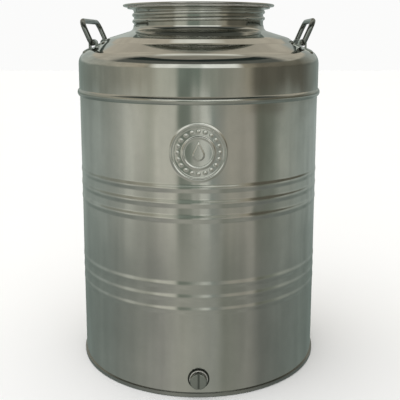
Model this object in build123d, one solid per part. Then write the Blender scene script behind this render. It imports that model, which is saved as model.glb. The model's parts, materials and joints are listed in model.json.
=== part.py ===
"""Stainless steel screw-lid milk drum of about 50 litres, as an assembly of its separate pieces.

Millimetres, +Z up, origin at the centre of the face the drum stands on. The outlet and the medallion
face -Y, and the two folding handles stand at the left (-X) and the right (+X).
"""
from build123d import *
import math
import os

# ---------------------------------------------------------------- clearances
LAP_GAP = 0.1            # between sheets that lap on each other
RUNNING_GAP = 0.3        # between a moving piece and what it moves against
SCREW_GAP = 0.1          # radial gap of the outlet plug's shank in its socket
WIRE_GAP = 0.05          # round a wire inside its hem

# ---------------------------------------------------------------- body wall
WALL_RADIUS = 184.2      # outside of the cylinder
WALL_SHEET = 0.8
RIB_HEIGHT = 0.9         # how far a swaged rib stands proud
RIB_WIDTH = 13.0
RIB_CREST = 4.4          # between the corners at the top of a rib, before they are rounded
RIB_FILLET = 20.0
RIBS_PER_GROUP = 3
RIB_GROUPS = [(128.0, 18.5), (259.0, 21.0)]   # height of the lowest rib, spacing

# ---------------------------------------------------------------- medallion on the wall
MEDAL_HEIGHT = 350.0
MEDAL_RING_RADII = [37.5, 21.0]
MEDAL_RING_WIDTH = 2.0
MEDAL_RELIEF = 0.8
MEDAL_BEADS = 20
MEDAL_BEAD_RADIUS = 1.7
MEDAL_DROP_RADIUS = 7.5
MEDAL_DROP_TIP = 14.0    # from the medallion's centre up to the drop's point
MEDAL_DROP_SINK = 3.0    # from the medallion's centre down to the drop's round centre

# ---------------------------------------------------------------- base
BASE_RING_SHEET = 2.0
BASE_RING_HEIGHT = 6.0
BASE_RING_FILLET = 2.3
BASE_SHEET = 0.8
BASE_FLOOR_HEIGHT = 11.0
BASE_CROWN = 5.0         # rise of the floor to its flat middle
BASE_FLAT_RADIUS = 70.0
BASE_FLAT_FILLET = 200.0
BASE_FILLET = 5.0

# ---------------------------------------------------------------- shoulder
JOINT_HEIGHT = 419.0     # middle of the joint between wall and shoulder
JOINT_LAP = 12.0         # how far the wall reaches up inside the skirt
SKIRT_RISE = 57.0        # from the joint up to the shoulder's corner
SHOULDER_SHEET = 0.8
SHOULDER_CORNER_FILLET = 22.0
OUTER_SLOPE = 24.8       # degrees below level, outside the step
STEP_SLOPE = 35.5        # degrees below level, on the soft step round the neck
INNER_SLOPE = 17.1       # degrees below level, inside the step
STEP_OUTER_RADIUS = 149.0
STEP_INNER_RADIUS = 138.0
STEP_FILLET = 20.0
LIP_FILLET = 8.0
LIP_RISE = 7.0           # of the upturned lip, above the corner under it
HOOP_WIDTH = 11.0
HOOP_PROUD = 2.7

# ---------------------------------------------------------------- neck
NECK_RADIUS = 99.6       # outside of the collar between the thread's ridges
NECK_SHEET = 1.0
NECK_TUCK = 4.0          # of the collar below the shoulder's upturned lip
NECK_RISE = 33.2         # from the shoulder's inner corner up to the mouth
MOUTH_RADIUS = 109.5
MOUTH_FILLET = 6.0
THREAD_PITCH = 9.5
THREAD_RIDGE = 2.6       # how far the rolled ridge stands out of the collar
THREAD_ROUND = 3.4       # radius of the ridge's round section
THREAD_START = 11.0      # lower end of the thread, above the shoulder's inner corner
THREAD_TURN = 106.0      # degrees round from +X where the thread starts
THREAD_LEAD_IN = 4.0     # degrees from the start of the ridge to the start of its groove
LID_RIDGE_ROUND = 1.6
LID_THREAD_TURNS = 1.2
LID_THREAD_START = 197.0   # degrees along the helix from the neck thread's start to the lid's

# ---------------------------------------------------------------- lid
LID_SHEET = 0.8
LID_WALL_GAP = 0.8       # between the lid's wall and the collar's bore
LID_DEPTH = 25.8         # from the flange down to the recess floor
LID_CROWN = 3.0
LID_FLAT_RADIUS = 55.0   # flat middle of the recess floor
LID_FLAT_FILLET = 60.0
LID_FLOOR_FILLET = 8.0
LID_FLANGE_FILLET = 3.0
LID_RADIUS = 116.2
HEM_RADIUS = 1.7
GASKET_THICKNESS = 1.8
GASKET_INSET = 0.5       # of the gasket's edge inside the mouth's edge

GRIP_WIDTH = 46.0
GRIP_SHEET = 1.2
GRIP_DEPTH = 14.0
GRIP_SINK = 2.0          # of the grip's top below the flange's top
GRIP_FLARE = 16.0        # how far the ends widen on each side
GRIP_END_LENGTH = 12.0

# ---------------------------------------------------------------- handles
HANDLE_TURN = -2.8       # degrees the handles' line stands round from the X axis
HANDLE_AXIS_RADIUS = 156.0
HANDLE_FOOT_GAP = 0.7    # between a foot's inner end and the shoulder
HANDLE_SPAN = 124.0      # between the centre lines of the legs
HANDLE_REACH = 35.5      # from the swing axis to the centre line of the grip bar
HANDLE_LEAN = 23.4       # degrees outward at rest
ROD_RADIUS = 3.9
HANDLE_GRIP_BEND = 14.0
HANDLE_FOOT_BEND = 7.0
FOOT_LENGTH = 26.0       # from a leg's centre line to the end of its foot

CLIP_SHEET = 1.5
CLIP_WIDTH = 16.0
CLIP_LENGTH = 32.0
CLIP_CORNER = 5.0
CLIP_SET_IN = 16.0       # of a clip's middle from the leg's centre line

# ---------------------------------------------------------------- outlet
OUTLET_HEIGHT = 28.0
SOCKET_RADIUS = 15.3
SOCKET_BORE = 10.5
SOCKET_PROUD = 1.6
SOCKET_INSIDE = 8.0
SOCKET_CHAMFER = 0.8
SEAL_THICKNESS = 1.5
SEAL_RADIUS = 12.6
PLUG_HEAD_RADIUS = 12.0
PLUG_HEAD_THICKNESS = 7.6
PLUG_HEAD_FILLET = 1.8
PLUG_SHANK_LENGTH = 12.0
PLUG_TIP_CHAMFER = 1.0
SLOT_WIDTH = 3.0
SLOT_DEPTH = 2.6

# ---------------------------------------------------------------- derived places
WALL_FOOT = BASE_RING_SHEET + LAP_GAP
WALL_TOP = JOINT_HEIGHT + JOINT_LAP
SKIRT_RADIUS = WALL_RADIUS + LAP_GAP + SHOULDER_SHEET
SKIRT_FOOT = JOINT_HEIGHT - HOOP_WIDTH / 2
CORNER_HEIGHT = JOINT_HEIGHT + SKIRT_RISE
LIP_RADIUS = NECK_RADIUS + LAP_GAP + SHOULDER_SHEET
OUTER_RUN = SKIRT_RADIUS - STEP_OUTER_RADIUS
STEP_FOOT = CORNER_HEIGHT + OUTER_RUN * math.tan(math.radians(OUTER_SLOPE))
STEP_RUN = STEP_OUTER_RADIUS - STEP_INNER_RADIUS
STEP_TOP = STEP_FOOT + STEP_RUN * math.tan(math.radians(STEP_SLOPE))
LIP_CORNER = STEP_TOP + (STEP_INNER_RADIUS - LIP_RADIUS) * math.tan(math.radians(INNER_SLOPE))
MOUTH_HEIGHT = LIP_CORNER + NECK_RISE
NECK_BORE = NECK_RADIUS - NECK_SHEET
THREAD_FOOT = LIP_CORNER + THREAD_START
THREAD_CENTRE = NECK_RADIUS + THREAD_RIDGE - THREAD_ROUND
LID_WALL_RADIUS = NECK_BORE - LID_WALL_GAP
FLANGE_HEIGHT = MOUTH_HEIGHT + GASKET_THICKNESS
RECESS_RADIUS = LID_WALL_RADIUS - LID_SHEET
HEM_CENTRE = LID_RADIUS - HEM_RADIUS
FOOT_END_RADIUS = math.hypot(HANDLE_AXIS_RADIUS, HANDLE_SPAN / 2 - FOOT_LENGTH)
FOOT_END_HEIGHT = CORNER_HEIGHT + (SKIRT_RADIUS - FOOT_END_RADIUS) * math.tan(math.radians(OUTER_SLOPE))
HANDLE_AXIS_HEIGHT = FOOT_END_HEIGHT + (ROD_RADIUS + HANDLE_FOOT_GAP) / math.cos(math.radians(OUTER_SLOPE))
HANDLE_SIDES = {"left": 180.0, "right": 0.0}
CLIP_ENDS = {"front": -1, "rear": 1}


def offset_corners(points, distance):
    """Corners of the line parallel to a polyline, at a distance to the left of its direction."""
    directions = [(Vector(*b) - Vector(*a)).normalized() for a, b in zip(points, points[1:])]
    normals = [Vector(-d.Y, d.X) for d in directions]
    corners = [Vector(*points[0]) + normals[0] * distance]
    for point, before, after in zip(points[1:-1], normals, normals[1:]):
        miter = (before + after) * (1 / (1 + before.dot(after)))
        corners.append(Vector(*point) + miter * distance)
    corners.append(Vector(*points[-1]) + normals[-1] * distance)
    return [(corner.X, corner.Y) for corner in corners]


def offset_radii(points, radii, distance):
    """Bend radii of that parallel line: a left turn's bend tightens, a right turn's opens."""
    changed = []
    for before, point, after, radius in zip(points, points[1:], points[2:], radii):
        first = Vector(*point) - Vector(*before)
        second = Vector(*after) - Vector(*point)
        left_turn = first.X * second.Y - first.Y * second.X > 0
        changed.append(radius - distance if left_turn else radius + distance)
    return changed


def parallel_line(points, radii, distance):
    """The filleted line parallel to a polyline, at a distance to its left."""
    return FilletPolyline(*offset_corners(points, distance), radius=offset_radii(points, radii, distance))


def sheet_section(points, radii, thickness, stand_off=0.0):
    """Section of a bent sheet: its first face runs along the line, moved by the stand-off."""
    near = parallel_line(points, radii, stand_off)
    far = parallel_line(points, radii, stand_off + thickness)
    ends = [Line(near @ 0, far @ 0), Line(near @ 1, far @ 1)]
    return make_face([near, far, *ends])


def filled_section(points, radii, stand_off, floor_height):
    """Section from the axis out to the line moved by the stand-off, down to a floor height."""
    line = parallel_line(points, radii, stand_off)
    low = (line @ 0, line @ 1)
    closing = Polyline(low[1], (0, low[1].Y), (0, floor_height), (low[0].X, floor_height), low[0])
    return make_face([line, closing])


def turned(section):
    """A section of radius and height, turned about the Z axis."""
    return revolve(Plane.XZ * section, axis=Axis.Z)


def helix_rod(round_radius, start, turns):
    """A round rod along the thread's helix; the start is in degrees along it from the thread's foot."""
    path = Helix(pitch=THREAD_PITCH, height=THREAD_PITCH * turns, radius=THREAD_CENTRE)
    first = Plane(origin=path @ 0, z_dir=path % 0)
    rod = sweep(first * Circle(round_radius), path=path, is_frenet=True)
    foot = THREAD_FOOT + THREAD_PITCH * start / 360
    return Pos(0, 0, foot) * Rot(0, 0, THREAD_TURN + start) * rod


def wall_line():
    """Outer line of the wall from its foot to its top, over every rib."""
    ramp = (RIB_WIDTH - RIB_CREST) / 2
    crest = WALL_RADIUS + RIB_HEIGHT
    points = [(WALL_RADIUS, WALL_FOOT)]
    for lowest, spacing in RIB_GROUPS:
        for number in range(RIBS_PER_GROUP):
            middle = lowest + number * spacing
            points.append((WALL_RADIUS, middle - RIB_WIDTH / 2))
            points.append((crest, middle - RIB_WIDTH / 2 + ramp))
            points.append((crest, middle + RIB_WIDTH / 2 - ramp))
            points.append((WALL_RADIUS, middle + RIB_WIDTH / 2))
    points.append((WALL_RADIUS, WALL_TOP))
    return points, [RIB_FILLET] * (len(points) - 2)


def medallion():
    """Raised rings, a ring of beads and a drop, all following the wall's curve."""
    art = Sketch()
    for radius in MEDAL_RING_RADII:
        art += Circle(radius + MEDAL_RING_WIDTH / 2) - Circle(radius - MEDAL_RING_WIDTH / 2)
    bead_circle = sum(MEDAL_RING_RADII) / len(MEDAL_RING_RADII)
    art += [place * Circle(MEDAL_BEAD_RADIUS) for place in PolarLocations(bead_circle, MEDAL_BEADS)]
    half_angle = math.acos(MEDAL_DROP_RADIUS / (MEDAL_DROP_TIP + MEDAL_DROP_SINK))
    side = MEDAL_DROP_RADIUS * math.sin(half_angle)
    level = MEDAL_DROP_RADIUS * math.cos(half_angle) - MEDAL_DROP_SINK
    art += Pos(0, -MEDAL_DROP_SINK) * Circle(MEDAL_DROP_RADIUS)
    art += make_face(Polyline((-side, level), (side, level), (0, MEDAL_DROP_TIP), (-side, level)))
    stamp = extrude(Plane((0, 0, MEDAL_HEIGHT), x_dir=(1, 0, 0), z_dir=(0, -1, 0)) * art, WALL_RADIUS * 2)
    reach = MEDAL_RING_RADII[0] + MEDAL_RING_WIDTH
    outside = Cylinder(WALL_RADIUS + MEDAL_RELIEF, reach * 2)
    inside = Cylinder(WALL_RADIUS - WALL_SHEET / 2, reach * 2)
    return (Pos(0, 0, MEDAL_HEIGHT) * (outside - inside)) & stamp


def outlet_bore(radius):
    """A cutter along the outlet's axis, from inside the drum out to the front."""
    return Pos(0, -WALL_RADIUS, OUTLET_HEIGHT) * Rot(90, 0, 0) * Cylinder(radius, WALL_RADIUS / 2)


def make_body_wall():
    points, radii = wall_line()
    wall = turned(sheet_section(points, radii, WALL_SHEET))
    return wall + medallion() - outlet_bore(SOCKET_RADIUS + LAP_GAP)


def make_base_ring():
    outer = WALL_RADIUS + LAP_GAP + BASE_RING_SHEET
    inner = WALL_RADIUS - WALL_SHEET - BASE_SHEET - 2 * LAP_GAP - BASE_RING_SHEET
    points = [(inner, BASE_RING_HEIGHT), (inner, 0), (outer, 0), (outer, BASE_RING_HEIGHT)]
    return turned(sheet_section(points, [BASE_RING_FILLET] * 2, BASE_RING_SHEET))


def make_base_pan():
    flange = WALL_RADIUS - WALL_SHEET - LAP_GAP
    crown = BASE_FLOOR_HEIGHT + BASE_CROWN
    points = [(flange, WALL_FOOT), (flange, BASE_FLOOR_HEIGHT), (BASE_FLAT_RADIUS, crown), (0, crown)]
    return turned(sheet_section(points, [BASE_FILLET, BASE_FLAT_FILLET], BASE_SHEET))


def shoulder_line():
    """Outer line of the shoulder from the foot of its skirt to the top of its lip."""
    points = [
        (SKIRT_RADIUS, SKIRT_FOOT),
        (SKIRT_RADIUS, CORNER_HEIGHT),
        (STEP_OUTER_RADIUS, STEP_FOOT),
        (STEP_INNER_RADIUS, STEP_TOP),
        (LIP_RADIUS, LIP_CORNER),
        (LIP_RADIUS, LIP_CORNER + LIP_RISE),
    ]
    return points, [SHOULDER_CORNER_FILLET, STEP_FILLET, STEP_FILLET, LIP_FILLET]


def make_shoulder_shell():
    points, radii = shoulder_line()
    return turned(sheet_section(points, radii, SHOULDER_SHEET))


def make_joint_hoop():
    inner = SKIRT_RADIUS + LAP_GAP
    low = (inner, JOINT_HEIGHT - HOOP_WIDTH / 2)
    high = (inner, JOINT_HEIGHT + HOOP_WIDTH / 2)
    face = ThreePointArc(low, (inner + HOOP_PROUD, JOINT_HEIGHT), high)
    return turned(make_face([face, Line(low, high)]))


def make_neck_collar():
    """Collar with a rolled thread: a ridge outside, its groove inside, running out at the mouth."""
    sheet_top = MOUTH_HEIGHT - NECK_SHEET
    points = [(NECK_RADIUS, LIP_CORNER - NECK_TUCK), (NECK_RADIUS, sheet_top), (MOUTH_RADIUS, sheet_top)]
    radii = [MOUTH_FILLET]
    collar = turned(sheet_section(points, radii, NECK_SHEET))
    turns = (MOUTH_HEIGHT - THREAD_FOOT) / THREAD_PITCH
    collar += helix_rod(THREAD_ROUND, 0, turns - NECK_SHEET * 2 / THREAD_PITCH)
    collar -= turned(filled_section(points, radii, NECK_SHEET, points[0][1] - NECK_SHEET))
    lid_space = Cylinder(MOUTH_RADIUS, THREAD_PITCH, align=(Align.CENTER, Align.CENTER, Align.MIN))
    collar -= Pos(0, 0, MOUTH_HEIGHT) * lid_space
    for half_turn in range(math.ceil(2 * turns)):
        collar -= helix_rod(THREAD_ROUND - NECK_SHEET, THREAD_LEAD_IN + 180 * half_turn, 0.5)
    return collar


def make_lid_shell():
    """Dished lid: crowned recess floor, wall with the male thread, flange and hemmed rim."""
    floor = FLANGE_HEIGHT - LID_DEPTH
    points = [(0, floor + LID_CROWN), (LID_FLAT_RADIUS, floor + LID_CROWN), (LID_WALL_RADIUS, floor)]
    points += [(LID_WALL_RADIUS, FLANGE_HEIGHT), (HEM_CENTRE, FLANGE_HEIGHT)]
    bends = [LID_FLAT_FILLET, LID_FLOOR_FILLET, LID_FLANGE_FILLET]
    curl = Circle(HEM_RADIUS) - Circle(HEM_RADIUS - LID_SHEET)
    hem = Pos(HEM_CENTRE, FLANGE_HEIGHT + HEM_RADIUS) * curl
    lid = turned(sheet_section(points, bends, LID_SHEET) + hem)
    return lid + helix_rod(LID_RIDGE_ROUND, LID_THREAD_START, LID_THREAD_TURNS)


def make_lid_rim_wire():
    wire = HEM_RADIUS - LID_SHEET - WIRE_GAP
    return turned(Pos(HEM_CENTRE, FLANGE_HEIGHT + HEM_RADIUS) * Circle(wire))


def make_lid_grip():
    """Folded bridge across the recess, just under the flange, its ends flared along the wall."""
    reach = RECESS_RADIUS - LAP_GAP
    top = FLANGE_HEIGHT + LID_SHEET - GRIP_SINK
    end_width = GRIP_WIDTH + 2 * GRIP_FLARE
    outline = Rectangle(GRIP_WIDTH, 2 * reach)
    outline += Rectangle(end_width, 2 * reach) - Circle(reach - GRIP_END_LENGTH)
    outline = outline & Circle(reach)
    plate = Pos(0, 0, top - GRIP_SHEET) * extrude(outline, GRIP_SHEET)
    leg_length = 2 * math.sqrt((reach - GRIP_END_LENGTH) ** 2 - (GRIP_WIDTH / 2) ** 2)
    for side in (-1, 1):
        middle = (side * (GRIP_WIDTH - GRIP_SHEET) / 2, 0, top - GRIP_DEPTH)
        aligned = (Align.CENTER, Align.CENTER, Align.MIN)
        plate += Pos(*middle) * Box(GRIP_SHEET, leg_length, GRIP_DEPTH, align=aligned)
    return plate


def make_lid_gasket():
    inner = LID_WALL_RADIUS + LID_FLANGE_FILLET + RUNNING_GAP
    ring = Circle(MOUTH_RADIUS - GASKET_INSET) - Circle(inner)
    return Pos(0, 0, MOUTH_HEIGHT) * extrude(ring, GASKET_THICKNESS)


def on_side(piece, side):
    """A piece drawn at the +X side, turned to its own side of the drum."""
    return Rot(0, 0, HANDLE_SIDES[side] + HANDLE_TURN) * piece


def make_handle(side):
    """Round rod bent into a bail, its feet turned inward under the clips."""
    half = HANDLE_SPAN / 2
    foot = half - FOOT_LENGTH
    corners = [(-foot, 0), (-half, 0), (-half, HANDLE_REACH)]
    corners += [(-x, y) for x, y in reversed(corners)]
    bends = [HANDLE_FOOT_BEND, HANDLE_GRIP_BEND, HANDLE_GRIP_BEND, HANDLE_FOOT_BEND]
    line = FilletPolyline(*corners, radius=bends)
    lean = math.radians(HANDLE_LEAN)
    bail = Plane(
        origin=(HANDLE_AXIS_RADIUS, 0, HANDLE_AXIS_HEIGHT),
        x_dir=(0, 1, 0),
        z_dir=(math.cos(lean), 0, -math.sin(lean)),
    )
    path = bail * line
    section = Plane(origin=path @ 0, z_dir=path % 0) * Circle(ROD_RADIUS)
    return on_side(sweep(section, path=path), side)


def make_clip(side, end):
    """Saddle over a handle's foot: a bridge round the rod and two tongues that follow the shoulder."""
    points, radii = shoulder_line()
    facing = 1 if side == "right" else -1
    middle = facing * CLIP_ENDS[end] * (HANDLE_SPAN / 2 - CLIP_SET_IN)
    space = ROD_RADIUS + RUNNING_GAP
    axis = Pos(HANDLE_AXIS_RADIUS, middle, HANDLE_AXIS_HEIGHT)
    below = (Align.CENTER, Align.CENTER, Align.MAX)
    along = Rot(90, 0, 0)
    outer = along * Cylinder(space + CLIP_SHEET, CLIP_WIDTH)
    outer += Box(2 * (space + CLIP_SHEET), CLIP_WIDTH, CLIP_LENGTH, align=below)
    inner = along * Cylinder(space, CLIP_WIDTH)
    inner += Box(2 * space, CLIP_WIDTH, CLIP_LENGTH, align=below)
    tongues = turned(sheet_section(points, radii, -CLIP_SHEET, -LAP_GAP))
    outline = RectangleRounded(CLIP_LENGTH, CLIP_WIDTH, CLIP_CORNER)
    footprint = Pos(HANDLE_AXIS_RADIUS, middle, CORNER_HEIGHT) * extrude(outline, CLIP_LENGTH, both=True)
    shoulder = turned(filled_section(points, radii, -LAP_GAP, SKIRT_FOOT - CLIP_SHEET))
    clip = axis * outer + (tongues & footprint) - shoulder - axis * inner
    return on_side(clip, side)


def outlet_piece(section):
    """A section of radius and distance out of the wall, turned about the outlet's axis."""
    piece = revolve(Plane.XZ * section, axis=Axis.Z)
    return Pos(0, -WALL_RADIUS, OUTLET_HEIGHT) * Rot(90, 0, 0) * piece


def ring_section(inner, outer, low, high):
    """A rectangular section between two radii and two distances out of the wall."""
    aligned = (Align.MIN, Align.MIN)
    return Pos(inner, low) * Rectangle(outer - inner, high - low, align=aligned)


def make_outlet_socket():
    section = ring_section(SOCKET_BORE, SOCKET_RADIUS, -SOCKET_INSIDE, SOCKET_PROUD)
    outer_corner = section.vertices().filter_by(lambda v: v.X > SOCKET_BORE + LAP_GAP).sort_by(Axis.Y)[-1]
    return outlet_piece(chamfer(outer_corner, SOCKET_CHAMFER))


def make_outlet_seal():
    inner = SOCKET_BORE + LAP_GAP
    return outlet_piece(ring_section(inner, SEAL_RADIUS, SOCKET_PROUD, SOCKET_PROUD + SEAL_THICKNESS))


def make_outlet_plug():
    """Screw plug: rounded head with a driver slot, and a plain shank at the thread's size."""
    head_foot = SOCKET_PROUD + SEAL_THICKNESS
    face = head_foot + PLUG_HEAD_THICKNESS
    shank = SOCKET_BORE - SCREW_GAP
    tip = head_foot - PLUG_SHANK_LENGTH
    head = ring_section(0, PLUG_HEAD_RADIUS, head_foot, face)
    rim = head.vertices().filter_by(lambda v: v.X > shank).sort_by(Axis.Y)[-1]
    head = fillet(rim, PLUG_HEAD_FILLET)
    stem = ring_section(0, shank, tip, head_foot)
    end = stem.vertices().filter_by(lambda v: v.X > PLUG_TIP_CHAMFER).sort_by(Axis.Y)[0]
    stem = chamfer(end, PLUG_TIP_CHAMFER)
    plug = outlet_piece(head) + outlet_piece(stem)
    slot = Box(SLOT_WIDTH, 2 * SLOT_DEPTH, 2 * PLUG_HEAD_RADIUS)
    return plug - Pos(0, -WALL_RADIUS - face, OUTLET_HEIGHT) * slot


def build_pieces():
    """Every separate piece of the drum, by name."""
    pieces = {
        "body_wall": make_body_wall(),
        "base_ring": make_base_ring(),
        "base_pan": make_base_pan(),
        "shoulder_shell": make_shoulder_shell(),
        "joint_hoop": make_joint_hoop(),
        "neck_collar": make_neck_collar(),
        "lid_shell": make_lid_shell(),
        "lid_rim_wire": make_lid_rim_wire(),
        "lid_grip": make_lid_grip(),
        "lid_gasket": make_lid_gasket(),
        "outlet_socket": make_outlet_socket(),
        "outlet_seal": make_outlet_seal(),
        "outlet_plug": make_outlet_plug(),
    }
    for side in HANDLE_SIDES:
        pieces[f"handle_{side}"] = make_handle(side)
        for end in CLIP_ENDS:
            pieces[f"clip_{side}_{end}"] = make_clip(side, end)
    return pieces


os.makedirs("parts", exist_ok=True)
for name, piece in build_pieces().items():
    export_step(piece, f"parts/{name}.step")
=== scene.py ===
"""Blender scene of the steel milk drum: its looks, light and camera. Metres, in the CAD model's frame."""
import json
import math

import bpy
import numpy as np
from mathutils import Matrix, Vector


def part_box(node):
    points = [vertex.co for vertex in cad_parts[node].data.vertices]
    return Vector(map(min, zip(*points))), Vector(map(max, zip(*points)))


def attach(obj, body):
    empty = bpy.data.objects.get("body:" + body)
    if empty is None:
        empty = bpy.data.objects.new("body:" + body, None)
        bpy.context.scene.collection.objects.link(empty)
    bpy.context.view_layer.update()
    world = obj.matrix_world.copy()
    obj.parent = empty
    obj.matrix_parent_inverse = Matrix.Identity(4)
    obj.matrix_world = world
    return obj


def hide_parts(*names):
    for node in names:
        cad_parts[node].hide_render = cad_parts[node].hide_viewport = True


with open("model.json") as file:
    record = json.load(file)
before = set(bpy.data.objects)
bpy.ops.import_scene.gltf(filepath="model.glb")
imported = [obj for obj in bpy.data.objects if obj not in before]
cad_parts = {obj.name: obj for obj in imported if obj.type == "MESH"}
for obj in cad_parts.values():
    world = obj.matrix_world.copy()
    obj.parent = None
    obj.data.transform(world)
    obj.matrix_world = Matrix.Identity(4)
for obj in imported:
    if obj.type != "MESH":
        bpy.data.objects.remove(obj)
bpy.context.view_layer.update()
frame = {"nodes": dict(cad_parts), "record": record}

NODES = frame["nodes"]

# ---------------------------------------------------------------- camera
CAMERA_BACK = 1.0854
CAMERA_HEIGHT = 0.5038
CAMERA_DOWN = 9.604      # degrees below level
FOCAL_PIXELS = 688.3
FRAME_PIXELS = 400
SENSOR = 36.0
SHIFT_X = 0.0035
SHIFT_Y = -0.12


def make_camera():
    data = bpy.data.cameras.new("camera")
    data.sensor_width = SENSOR
    data.lens = FOCAL_PIXELS / FRAME_PIXELS * SENSOR
    data.shift_x = SHIFT_X
    data.shift_y = SHIFT_Y
    data.clip_start = 0.01
    data.clip_end = 50.0
    camera = bpy.data.objects.new("camera", data)
    camera.location = (0.0, -CAMERA_BACK, CAMERA_HEIGHT)
    camera.rotation_euler = (math.radians(90.0 - CAMERA_DOWN), 0.0, 0.0)
    bpy.context.scene.collection.objects.link(camera)
    bpy.context.scene.camera = camera


# ---------------------------------------------------------------- node helpers
class Nodes:
    """Short calls for building one material's node tree."""

    def __init__(self, name):
        self.material = bpy.data.materials.new(name)
        self.material.use_nodes = True
        self.tree = self.material.node_tree
        self.shader = self.tree.nodes["Principled BSDF"]

    @classmethod
    def of(cls, material):
        """The same calls on a material that is already made."""
        nodes = cls.__new__(cls)
        nodes.material = material
        nodes.tree = material.node_tree
        nodes.shader = nodes.tree.nodes["Principled BSDF"]
        return nodes

    def link(self, source, target):
        self.tree.links.new(source, target)

    def mapped(self, scale, rotation=(0.0, 0.0, 0.0)):
        """The object's own coordinates, stretched by a scale on each axis."""
        coordinates = self.tree.nodes.new("ShaderNodeTexCoord")
        mapping = self.tree.nodes.new("ShaderNodeMapping")
        mapping.inputs["Scale"].default_value = scale
        mapping.inputs["Rotation"].default_value = rotation
        self.link(coordinates.outputs["Object"], mapping.inputs["Vector"])
        return mapping.outputs["Vector"]

    def noise(self, vector, scale, detail=3.0, roughness=0.5):
        node = self.tree.nodes.new("ShaderNodeTexNoise")
        node.inputs["Scale"].default_value = scale
        node.inputs["Detail"].default_value = detail
        node.inputs["Roughness"].default_value = roughness
        self.link(vector, node.inputs["Vector"])
        return node.outputs["Fac"]

    def ramp(self, value, low, high, to_low, to_high):
        node = self.tree.nodes.new("ShaderNodeMapRange")
        node.inputs["From Min"].default_value = low
        node.inputs["From Max"].default_value = high
        node.inputs["To Min"].default_value = to_low
        node.inputs["To Max"].default_value = to_high
        self.link(value, node.inputs["Value"])
        return node.outputs["Result"]

    def math(self, operation, first, second):
        node = self.tree.nodes.new("ShaderNodeMath")
        node.operation = operation
        for socket, value in zip(node.inputs, (first, second)):
            if isinstance(value, (int, float)):
                socket.default_value = value
            else:
                self.link(value, socket)
        return node.outputs["Value"]

    def mix(self, factor, first, second):
        node = self.tree.nodes.new("ShaderNodeMix")
        node.data_type = "RGBA"
        self.link(factor, node.inputs["Factor"])
        for name, value in (("A", first), ("B", second)):
            socket = [s for s in node.inputs if s.name == name and s.type == "RGBA"][0]
            if isinstance(value, tuple):
                socket.default_value = (*value, 1.0)
            else:
                self.link(value, socket)
        return [s for s in node.outputs if s.type == "RGBA"][0]

    def bump(self, height, distance, strength=1.0, normal=None):
        node = self.tree.nodes.new("ShaderNodeBump")
        node.inputs["Distance"].default_value = distance
        node.inputs["Strength"].default_value = strength
        self.link(height, node.inputs["Height"])
        if normal is not None:
            self.link(normal, node.inputs["Normal"])
        return node.outputs["Normal"]


def steel(name, light, dark, rough, grain_scale, grain_depth, waves=0.0):
    """Stainless sheet: rolling grain, patchy polish, faint marks and slow hand-worked waves."""
    n = Nodes(name)
    grain = n.noise(n.mapped(grain_scale), 1.0, 4.0, 0.6)
    patches = n.noise(n.mapped((1.0, 1.0, 1.0)), 9.0, 5.0, 0.62)
    smears = n.noise(n.mapped((26.0, 26.0, 5.0)), 1.0, 4.0, 0.6)
    colour = n.mix(n.ramp(patches, 0.35, 0.68, 0.0, 1.0), light, dark)
    n.link(colour, n.shader.inputs["Base Color"])
    rough_patches = n.ramp(patches, 0.3, 0.7, rough[0], rough[1])
    rough_smears = n.ramp(smears, 0.45, 0.75, 0.0, rough[2])
    roughness = n.math("ADD", rough_patches, rough_smears)
    n.link(roughness, n.shader.inputs["Roughness"])
    normal = n.bump(grain, grain_depth)
    if waves:
        slow = n.noise(n.mapped((7.0, 7.0, 3.2)), 1.0, 2.0, 0.45)
        normal = n.bump(slow, waves, normal=normal)
    n.link(normal, n.shader.inputs["Normal"])
    n.shader.inputs["Metallic"].default_value = 1.0
    return n.material


def add_outlet_painted_shade(material):
    """Painted shade: a near-black base colour in the plug's driver slot and round the socket's side, where
    shade falls.
    """
    n = Nodes.of(material)
    parts = n.tree.nodes.new("ShaderNodeSeparateXYZ")
    n.link(n.mapped((1.0, 1.0, 1.0)), parts.inputs["Vector"])
    across = n.math("ABSOLUTE", parts.outputs["X"], 0.0)
    up = n.math("SUBTRACT", parts.outputs["Z"], OUTLET_HEIGHT / 1000)
    reach = n.math("SQRT", n.math("ADD", n.math("MULTIPLY", across, across), n.math("MULTIPLY", up, up)), 0.0)
    # masks for painted shade: the driver slot's recess and the socket's shaded side
    slot = n.ramp(across, 0.0009, 0.0018, 0.6, 0.0)
    side = n.ramp(reach, 0.0126, 0.0136, 0.0, 0.9)
    unshaded = n.shader.inputs["Base Color"].links[0].from_socket
    # painted shade: the base colour goes near black wherever either mask holds
    n.link(n.mix(n.math("MAXIMUM", slot, side), unshaded, (0.03, 0.033, 0.03)), n.shader.inputs["Base Color"])


def rubber(name, light, dark):
    n = Nodes(name)
    mottled = n.noise(n.mapped((1.0, 1.0, 1.0)), 160.0, 4.0, 0.6)
    n.link(n.mix(mottled, light, dark), n.shader.inputs["Base Color"])
    n.link(n.ramp(mottled, 0.3, 0.7, 0.42, 0.6), n.shader.inputs["Roughness"])
    n.link(n.bump(mottled, 0.00008), n.shader.inputs["Normal"])
    return n.material


STEEL_LIGHT = (0.62, 0.62, 0.585)
STEEL_DARK = (0.52, 0.53, 0.50)
ROUND_GRAIN = (6.0, 6.0, 900.0)
EVEN_GRAIN = (500.0, 500.0, 500.0)


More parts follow.
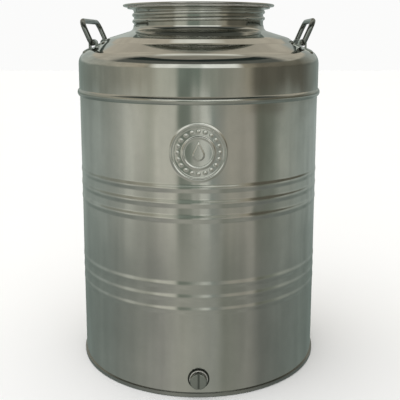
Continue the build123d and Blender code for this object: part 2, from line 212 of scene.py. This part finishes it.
# Slot: light and dark tone, roughness (least, most, added by smears), grain, its depth, depth of slow waves.
FINISHES = {
    "polished_body": (STEEL_LIGHT, STEEL_DARK, (0.07, 0.13, 0.10), ROUND_GRAIN, 0.00001, 0.0012),
    "polished_shoulder": (STEEL_LIGHT, STEEL_DARK, (0.04, 0.07, 0.05), ROUND_GRAIN, 0.000004, 0.0004),
    "polished_neck": (STEEL_LIGHT, STEEL_DARK, (0.05, 0.08, 0.05), ROUND_GRAIN, 0.000004),
    "base_steel": ((0.42, 0.43, 0.41), (0.28, 0.29, 0.28), (0.22, 0.34, 0.1), EVEN_GRAIN, 0.00003),
    "hoop_steel": ((0.56, 0.57, 0.53), (0.42, 0.43, 0.40), (0.09, 0.16, 0.1), ROUND_GRAIN, 0.000006),
    "lid_steel": (STEEL_LIGHT, STEEL_DARK, (0.06, 0.11, 0.05), EVEN_GRAIN, 0.000006),
    "wire_steel": ((0.5, 0.5, 0.5), (0.42, 0.42, 0.42), (0.25, 0.35, 0.05), EVEN_GRAIN, 0.00001),
    "fitting_steel": ((0.40, 0.42, 0.39), (0.28, 0.30, 0.28), (0.2, 0.32, 0.08), EVEN_GRAIN, 0.00002),
    "rod_steel": ((0.27, 0.29, 0.28), (0.17, 0.19, 0.18), (0.14, 0.24, 0.08), EVEN_GRAIN, 0.00002),
    "clip_steel": ((0.50, 0.52, 0.49), (0.36, 0.38, 0.36), (0.08, 0.16, 0.08), EVEN_GRAIN, 0.00001),
}


def make_materials():
    materials = {slot: steel(slot, *finish) for slot, finish in FINISHES.items()}
    # painted shade in the fitting's driver slot and round its socket
    add_outlet_painted_shade(materials["fitting_steel"])
    materials["gasket_rubber"] = rubber("gasket_rubber", (0.62, 0.61, 0.57), (0.45, 0.44, 0.41))
    return materials


def dress(materials):
    """Every carried-over CAD node gets the material of its slot."""
    slots = {row["node"]: row["material_slot"] for row in frame["record"]["subparts"]}
    for name, node in NODES.items():
        node.data.materials.clear()
        node.data.materials.append(materials[slots[name]])


# ---------------------------------------------------------------- pressed wall, in millimetres
RIB_GROUPS = [(128.0, 18.5, 0.45), (259.0, 21.0, 0.62)]   # lowest rib, spacing, how far it stands out
RIB_WIDTH = 13.0
WALL_RADIUS = 184.2
WALL_SHEET = 0.8
MEDAL_HEIGHT = 350.0
MEDAL_REACH = 42.0
MEDAL_RINGS = [(37.5, 1.5, 0.85), (34.3, 0.8, 0.3), (21.0, 1.4, 0.8)]   # radius, softness, relief
BEAD_CIRCLE = 28.6
BEADS = 20
BEAD_SOFTNESS = 1.7
BEAD_RELIEF = 0.75
DROP_RADIUS = 7.5
DROP_TIP = 14.0
DROP_SINK = 3.0
DROP_RELIEF = 0.8
OUTLET_HEIGHT = 28.0
OUTLET_HOLE = 13.0       # inside the socket's metal, so its edge never shows
WELD_WIDTH = 1.6
WELD_RELIEF = 0.22
DENTS = [                # degrees round the drum, height, width, depth
    (27.0, 264.0, 9.0, 0.35), (31.0, 286.0, 8.0, 0.3), (-38.0, 92.0, 16.0, 0.35),
    (8.0, 78.0, 20.0, 0.3), (62.0, 205.0, 18.0, 0.4), (-70.0, 300.0, 15.0, 0.35),
    (140.0, 170.0, 20.0, 0.4), (-150.0, 90.0, 18.0, 0.4),
]
FINE_TURN = 0.17         # degrees between columns across the medallion, and elsewhere
COARSE_TURN = 1.0
MEDAL_STEP = 0.55        # height between rows across the medallion, a rib and plain wall
RIB_STEP = 1.0
PLAIN_STEP = 4.0
LEAST_STEP = 0.3


def soft_step(value, low, high):
    t = np.clip((value - low) / (high - low), 0.0, 1.0)
    return t * t * (3 - 2 * t)


def rib_relief(height):
    relief = np.zeros_like(height)
    for lowest, spacing, proud in RIB_GROUPS:
        for number in range(3):
            t = np.clip((height - lowest - spacing * number) / RIB_WIDTH, -0.5, 0.5)
            relief += proud * (0.5 + 0.5 * np.cos(2 * np.pi * t))
    return relief


def medallion_relief(across, up):
    """Rings, beads and a drop, pressed softly out of the sheet."""
    reach = np.hypot(across, up)
    relief = -0.18 * soft_step(reach, 39.5, 38.0) * soft_step(reach, 18.5, 20.5)
    for radius, softness, proud in MEDAL_RINGS:
        relief += proud * np.exp(-(((reach - radius) / softness) ** 2))
    for number in range(BEADS):
        turn = 2 * np.pi * number / BEADS
        away = (across - BEAD_CIRCLE * np.sin(turn)) ** 2 + (up - BEAD_CIRCLE * np.cos(turn)) ** 2
        relief += BEAD_RELIEF * np.exp(-away / BEAD_SOFTNESS**2)
    centre = up + DROP_SINK
    ball = np.hypot(across, centre) - DROP_RADIUS
    lean = math.acos(DROP_RADIUS / (DROP_TIP + DROP_SINK))
    cone = np.abs(across) * math.sin(lean) + centre * math.cos(lean) - DROP_RADIUS
    cone = np.where(centre > DROP_RADIUS * math.cos(lean), cone, np.abs(ball))
    inside = np.minimum(ball, cone)
    return relief + DROP_RELIEF * soft_step(inside, 0.9, -1.3)


def wall_waves(turn, height):
    """Slow unevenness of thin rolled sheet, with a few shallow dents."""
    waves = 0.10 * np.sin(3 * turn + 0.7) * np.sin(height / 61.0 + 1.2)
    waves += 0.07 * np.sin(7 * turn + height / 47.0 + 2.1)
    waves += 0.04 * np.sin(13 * turn - height / 29.0 + 0.4)
    waves += 0.025 * np.sin(23 * turn + 1.3 * np.sin(height / 33.0)) * np.sin(height / 19.0)
    for place, level, wide, deep in DENTS:
        away = ((turn - math.radians(place)) * WALL_RADIUS / wide) ** 2 + ((height - level) / wide) ** 2
        waves -= deep * np.exp(-away)
    return waves


def make_wall(material):
    """The wall as one pressed sheet, finer where it carries ribs and the medallion."""
    low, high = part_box("body_wall")
    fine = math.degrees(MEDAL_REACH / WALL_RADIUS)
    turns = [np.arange(-fine, fine, FINE_TURN), np.arange(fine, 360.0 - fine, COARSE_TURN)]
    turns = np.radians(np.concatenate(turns))
    turns = np.where(turns > np.pi, turns - 2 * np.pi, turns)
    foot, top = low.z * 1000, high.z * 1000
    medal_levels = np.arange(MEDAL_HEIGHT - MEDAL_REACH, MEDAL_HEIGHT + MEDAL_REACH, MEDAL_STEP)
    levels = [np.arange(foot, top, PLAIN_STEP), medal_levels, [top]]
    for lowest, spacing, _ in RIB_GROUPS:
        levels.append(np.arange(lowest - RIB_WIDTH, lowest + 2 * spacing + RIB_WIDTH, RIB_STEP))
    levels = np.unique(np.round(np.concatenate(levels), 2))
    levels = levels[np.concatenate([[True], np.diff(levels) > LEAST_STEP])]
    turn, height = np.meshgrid(turns, levels)
    quiet = soft_step(height, foot + 4, foot + 30) * soft_step(height, top - 14, top - 34)
    outlet = np.hypot(turn * WALL_RADIUS, height - OUTLET_HEIGHT)
    quiet *= soft_step(outlet, 20.0, 45.0)
    relief = rib_relief(height) + wall_waves(turn, height) * quiet
    around = turn * WALL_RADIUS
    near = np.hypot(around, height - MEDAL_HEIGHT) < MEDAL_REACH
    relief += np.where(near, medallion_relief(around, height - MEDAL_HEIGHT), 0.0)
    relief += WELD_RELIEF * np.exp(-(((np.pi - np.abs(turn)) * WALL_RADIUS / WELD_WIDTH) ** 2))
    rows, columns = turn.shape
    points = []
    for sink in (0.0, WALL_SHEET):
        out = (WALL_RADIUS + relief - sink) / 1000
        points.append(np.stack([out * np.sin(turn), -out * np.cos(turn), height / 1000], -1).reshape(-1, 3))
    index = np.arange(rows * columns).reshape(rows, columns)
    ahead = np.roll(index, -1, axis=1)
    outer = np.stack([index[:-1], ahead[:-1], ahead[1:], index[1:]], -1).reshape(-1, 4)
    hole = outlet.ravel() < OUTLET_HOLE
    hole &= np.abs(turn.ravel()) < np.pi / 2
    outer = outer[~hole[outer].any(axis=1)]
    inner = outer[:, ::-1] + rows * columns
    count = rows * columns
    foot_rim = np.stack([index[0], index[0] + count, ahead[0] + count, ahead[0]], -1)
    top_rim = np.stack([index[-1], ahead[-1], ahead[-1] + count, index[-1] + count], -1)
    mesh = bpy.data.meshes.new("pressed_wall")
    faces = np.concatenate([outer, inner, foot_rim, top_rim])
    mesh.from_pydata(np.concatenate(points).tolist(), [], faces.tolist())
    mesh.polygons.foreach_set("use_smooth", np.ones(len(mesh.polygons), dtype=bool))
    mesh.materials.append(material)
    wall = bpy.data.objects.new("pressed_wall", mesh)
    bpy.context.scene.collection.objects.link(wall)
    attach(wall, "tank")
    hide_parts("body_wall")


# ---------------------------------------------------------------- studio
# Soft panels round the drum, by the direction they stand in: azimuth in degrees (0 in front of the outlet,
# positive towards +X) and the colour of the panel there. Between two rows the colour blends.
LEVEL_PANELS = [
    (-150, (0.26, 0.31, 0.28)), (-96, (0.28, 0.29, 0.25)), (-60, (0.36, 0.35, 0.29)),
    (-44, (0.42, 0.41, 0.34)), (-37, (0.56, 0.56, 0.48)), (-22, (0.50, 0.51, 0.44)),
    (-17, (0.24, 0.28, 0.24)), (0, (0.22, 0.26, 0.22)), (4, (0.38, 0.40, 0.35)),
    (12, (0.33, 0.35, 0.30)), (36, (0.40, 0.39, 0.33)), (46, (0.36, 0.33, 0.26)),
    (53, (0.15, 0.14, 0.11)), (110, (0.13, 0.125, 0.10)), (150, (0.26, 0.30, 0.28)),
]
LOW_PANELS = [
    (-150, (0.36, 0.41, 0.38)), (-104, (0.40, 0.44, 0.41)), (-84, (0.42, 0.44, 0.40)),
    (-70, (0.60, 0.61, 0.55)), (-54, (0.60, 0.60, 0.53)), (-48, (0.50, 0.51, 0.44)),
    (-42, (0.54, 0.54, 0.47)), (-37, (0.72, 0.71, 0.63)), (-22, (0.70, 0.69, 0.61)),
    (-18, (0.22, 0.25, 0.21)), (-8, (0.25, 0.28, 0.24)), (-5, (0.50, 0.51, 0.46)),
    (0, (0.44, 0.45, 0.40)), (2, (0.80, 0.81, 0.74)), (9, (0.78, 0.80, 0.74)),
    (11, (0.26, 0.31, 0.29)), (16, (0.36, 0.38, 0.35)), (28, (0.46, 0.44, 0.38)),
    (52, (0.42, 0.40, 0.35)), (57, (0.20, 0.21, 0.17)), (74, (0.24, 0.26, 0.22)),
    (84, (0.44, 0.46, 0.41)), (112, (0.36, 0.40, 0.37)), (150, (0.38, 0.43, 0.41)),
]
FLOOR_PANELS = [
    (-150, (0.20, 0.24, 0.22)), (-96, (0.25, 0.28, 0.26)), (-60, (0.32, 0.33, 0.30)),
    (-36, (0.38, 0.38, 0.35)), (-14, (0.44, 0.44, 0.39)), (14, (0.42, 0.43, 0.39)),
    (24, (0.28, 0.29, 0.25)), (52, (0.31, 0.31, 0.28)), (62, (0.21, 0.22, 0.20)),
    (100, (0.24, 0.27, 0.25)), (150, (0.20, 0.24, 0.22)),
]
RAISED_PANELS = [
    (-150, (0.50, 0.54, 0.50)), (-90, (0.46, 0.44, 0.37)), (-52, (0.48, 0.43, 0.34)),
    (-46, (0.40, 0.38, 0.31)), (-38, (1.05, 1.05, 0.98)), (-20, (1.10, 1.10, 1.04)),
    (-16, (0.85, 0.88, 0.82)), (1, (0.85, 0.88, 0.82)), (5, (1.20, 1.22, 1.16)),
    (34, (1.15, 1.15, 1.08)), (42, (0.40, 0.36, 0.28)), (60, (0.20, 0.18, 0.14)),
    (110, (0.20, 0.19, 0.15)), (150, (0.40, 0.43, 0.40)),
]
REAR_PANELS = [
    (-180, (0.30, 0.28, 0.23)), (-175, (0.32, 0.30, 0.25)), (-169, (0.50, 0.46, 0.38)),
    (-150, (0.58, 0.53, 0.44)), (-90, (0.54, 0.51, 0.44)), (90, (0.54, 0.51, 0.44)),
    (150, (0.58, 0.53, 0.44)), (169, (0.50, 0.46, 0.38)), (175, (0.32, 0.30, 0.25)),
    (180, (0.30, 0.28, 0.23)),
]
EAVES = (0.13, 0.135, 0.12)
HIGH_FRONT = (0.028, 0.037, 0.034)
OVERHEAD = (0.34, 0.32, 0.27)
ZENITH = (0.95, 0.94, 0.86)
BACKDROP = (0.965, 0.965, 0.96)
# Where one zone gives way to the next: elevations in degrees.
LOW_FROM = (-20.0, -11.0)
LEVEL_FROM = (-6.5, -4.0)
RAISED_FROM = (2.0, 6.0)
HIGH_FROM = (22.0, 26.0)
HIGH_FRONT_FROM = (40.0, 45.0)
OVERHEAD_FROM = (58.0, 61.0)
ZENITH_FROM = (65.0, 70.0)
REAR_FROM = (-0.05, 0.2)     # as the direction's Y
EDGE_WOBBLE = 0.09


class World(Nodes):
    """The studio's surroundings as one node tree."""

    def __init__(self, name):
        world = bpy.data.worlds.new(name)
        world.use_nodes = True
        bpy.context.scene.world = world
        self.tree = world.node_tree
        self.background = self.tree.nodes["Background"]
        direction = self.tree.nodes.new("ShaderNodeTexCoord").outputs["Generated"]
        parts = self.tree.nodes.new("ShaderNodeSeparateXYZ")
        self.link(direction, parts.inputs["Vector"])
        self.direction = direction
        front = self.math("MULTIPLY", parts.outputs["Y"], -1.0)
        self.azimuth = self.math("ARCTAN2", parts.outputs["X"], front)
        self.rise = parts.outputs["Z"]
        self.rear = parts.outputs["Y"]

    def panels(self, rows):
        """Colours round the horizon from rows of azimuth and colour."""
        node = self.tree.nodes.new("ShaderNodeValToRGB")
        stops = node.color_ramp.elements
        while len(stops) < len(rows):
            stops.new(0.5)
        for stop, (azimuth, colour) in zip(stops, rows):
            stop.position = (azimuth + 180) / 360
            stop.color = (*colour, 1.0)
        self.link(self.ramp(self.azimuth, -math.pi, math.pi, 0.0, 1.0), node.inputs["Fac"])
        return node.outputs["Color"]

    def above(self, low, high, wobble):
        """0 below an elevation and 1 above another, in degrees, with an uneven edge."""
        edge = self.math("ADD", self.rise, wobble)
        return self.ramp(edge, math.sin(math.radians(low)), math.sin(math.radians(high)), 0.0, 1.0)


def make_world():
    world = World("studio")
    wobble = world.math("SUBTRACT", world.noise(world.direction, 2.2, 3.0), 0.5)
    wobble = world.math("MULTIPLY", wobble, EDGE_WOBBLE)
    around = world.mix(world.above(*LOW_FROM, wobble), world.panels(FLOOR_PANELS), world.panels(LOW_PANELS))
    around = world.mix(world.above(*LEVEL_FROM, wobble), around, world.panels(LEVEL_PANELS))
    around = world.mix(world.above(*RAISED_FROM, wobble), around, world.panels(RAISED_PANELS))
    behind = world.ramp(world.math("ADD", world.rear, wobble), *REAR_FROM, 0.0, 1.0)
    high = world.mix(world.above(*HIGH_FRONT_FROM, wobble), EAVES, HIGH_FRONT)
    high = world.mix(world.above(*OVERHEAD_FROM, wobble), high, OVERHEAD)
    rear = world.mix(world.above(*ZENITH_FROM, wobble), world.panels(REAR_PANELS), ZENITH)
    high = world.mix(behind, high, rear)
    around = world.mix(world.above(*HIGH_FROM, wobble), around, high)
    mottle = world.ramp(world.noise(world.direction, 5.0, 4.0, 0.6), 0.3, 0.7, 0.84, 1.12)
    scaled = world.tree.nodes.new("ShaderNodeVectorMath")
    scaled.operation = "SCALE"
    world.link(around, scaled.inputs[0])
    world.link(mottle, scaled.inputs["Scale"])
    seen = world.tree.nodes.new("ShaderNodeLightPath").outputs["Is Camera Ray"]
    world.link(world.mix(seen, scaled.outputs["Vector"], BACKDROP), world.background.inputs["Color"])


def plain(name, colour, roughness=0.9):
    n = Nodes(name)
    speckle = n.noise(n.mapped((1.0, 1.0, 1.0)), 3.0, 2.0)
    n.link(n.mix(speckle, colour, tuple(c * 0.985 for c in colour)), n.shader.inputs["Base Color"])
    n.shader.inputs["Roughness"].default_value = roughness
    return n.material


FLOOR_HALF = 9.0
FLOOR_COLOUR = (0.92, 0.925, 0.945)
SUN_POWER = 2.55
SUN_SPREAD = 100.0       # degrees
SUN_LEAN = (14.0, -10.0)


def make_floor():
    """Pale floor, left out of reflections, so the drum mirrors the studio's panels and not the floor."""
    half = FLOOR_HALF
    mesh = bpy.data.meshes.new("floor")
    corners = [(-half, -half, 0.0), (half, -half, 0.0), (half, half, 0.0), (-half, half, 0.0)]
    mesh.from_pydata(corners, [], [(0, 1, 2, 3)])
    floor = bpy.data.objects.new("floor", mesh)
    bpy.context.scene.collection.objects.link(floor)
    mesh.materials.append(plain("floor", FLOOR_COLOUR))
    floor.visible_glossy = False


def make_light():
    data = bpy.data.lights.new("overhead", "SUN")
    data.energy = SUN_POWER
    data.angle = math.radians(SUN_SPREAD)
    light = bpy.data.objects.new("overhead", data)
    light.rotation_euler = (math.radians(SUN_LEAN[0]), math.radians(SUN_LEAN[1]), 0.0)
    light.visible_glossy = False
    bpy.context.scene.collection.objects.link(light)


def make_studio():
    bpy.context.scene.view_settings.view_transform = "Standard"
    make_world()
    make_light()


make_camera()
materials = make_materials()
dress(materials)
make_wall(materials["polished_body"])
make_floor()
make_studio()
